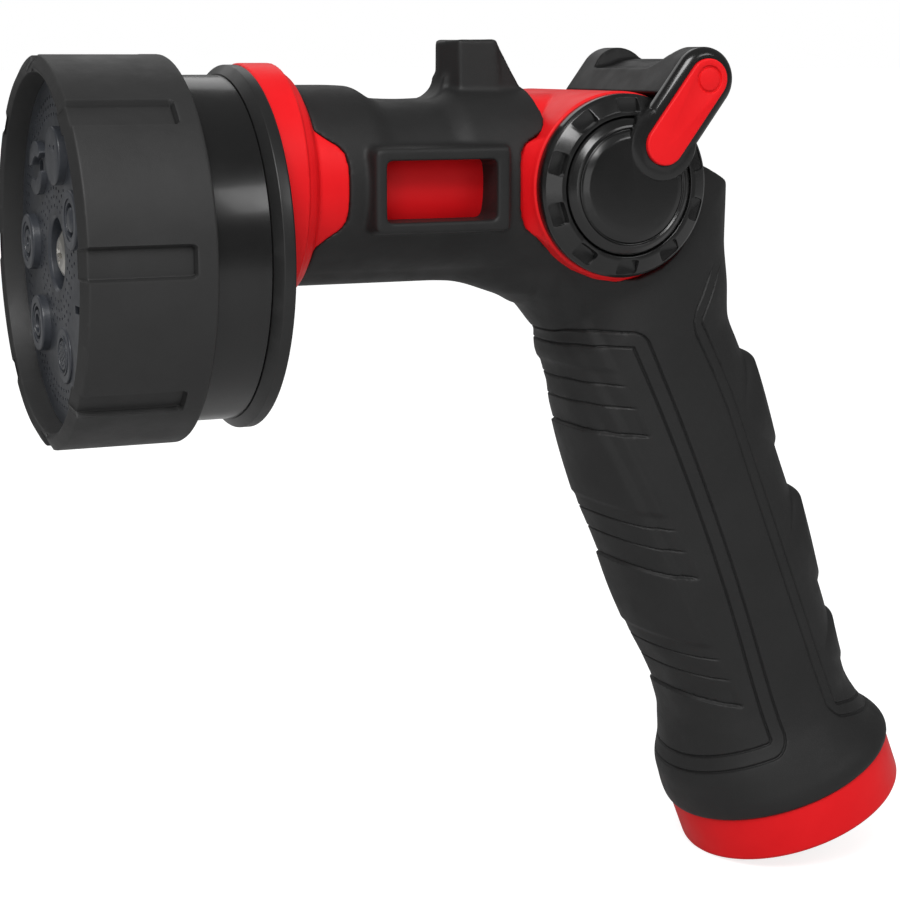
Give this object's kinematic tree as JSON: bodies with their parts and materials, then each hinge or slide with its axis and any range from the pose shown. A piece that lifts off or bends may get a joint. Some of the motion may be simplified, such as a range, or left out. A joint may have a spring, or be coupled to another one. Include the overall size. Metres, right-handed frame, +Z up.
{
  "type": "hose nozzle",
  "caption": "Pistol-grip hose nozzle: a big front dial picks the spray pattern and a thumb lever on top of the grip opens and shuts the water.",
  "frame": {"origin": "centre of the hose inlet's mouth, at the foot of the grip", "axes": "+X is the spray direction, along the dial's axis; +Y is the nozzle's left side; +Z is up, with the barrel level"},
  "size_m": [0.183, 0.0706, 0.1706],
  "materials": {
    "bezel_rubber": "soft-touch matte, moulded",
    "gloss_black": "polished moulded plastic",
    "plate_plastic": "fine satin, bluish dark grey",
    "grip_rubber": "matte overmould",
    "core_red": "semi-gloss moulded plastic",
    "pad_black": "satin moulded plastic",
    "seal_rubber": "smooth",
    "washer_rubber": "smooth, pliable",
    "steel": "zinc-plated",
    "brass": "turned",
    "white_plastic": "natural moulded acetal"
  },
  "bodies": {
    "dial": {"dial_bezel": "bezel_rubber", "dial_drum": "gloss_black", "manifold": "white_plastic", "tip_seals": "seal_rubber", "face_plate": "plate_plastic", "cone_tip": "plate_plastic", "mist_tip": "plate_plastic", "jet_tip": "plate_plastic", "soaker_tip": "plate_plastic"},
    "body": {"dial_washer": "steel", "dial_screw": "steel", "front_flange": "gloss_black", "port_seal": "seal_rubber", "outlet_oring": "seal_rubber", "detent_spring": "steel", "core_body": "core_red", "handle_core": "core_red", "barrel_cover": "grip_rubber", "grip_cover": "grip_rubber", "base_ring": "core_red", "inlet_insert": "brass", "hose_washer": "washer_rubber", "inlet_screen": "steel", "outlet_seat": "white_plastic", "inlet_seat": "white_plastic", "left_gland": "white_plastic", "right_gland": "white_plastic", "left_trunnion_oring": "seal_rubber", "right_trunnion_oring": "seal_rubber", "left_pod_ring": "gloss_black", "right_pod_ring": "gloss_black"},
    "lever": {"valve_ball": "white_plastic", "left_arm": "gloss_black", "right_cap": "gloss_black", "left_inlay": "core_red", "thumb_pad": "pad_black"}
  },
  "joints": [
    {"name": "dial_spin", "type": "hinge", "parent": "body", "child": "dial", "pos_m": [0.1596, 0, 0.1239], "axis": [1, 0, 0], "continuous": true, "deforming": ["detent_spring"]},
    {"name": "lever_swing", "type": "hinge", "parent": "body", "child": "lever", "pos_m": [0.0542, 0, 0.1348], "axis": [0, 1, 0], "range_deg": [0, 38]}
  ]
}
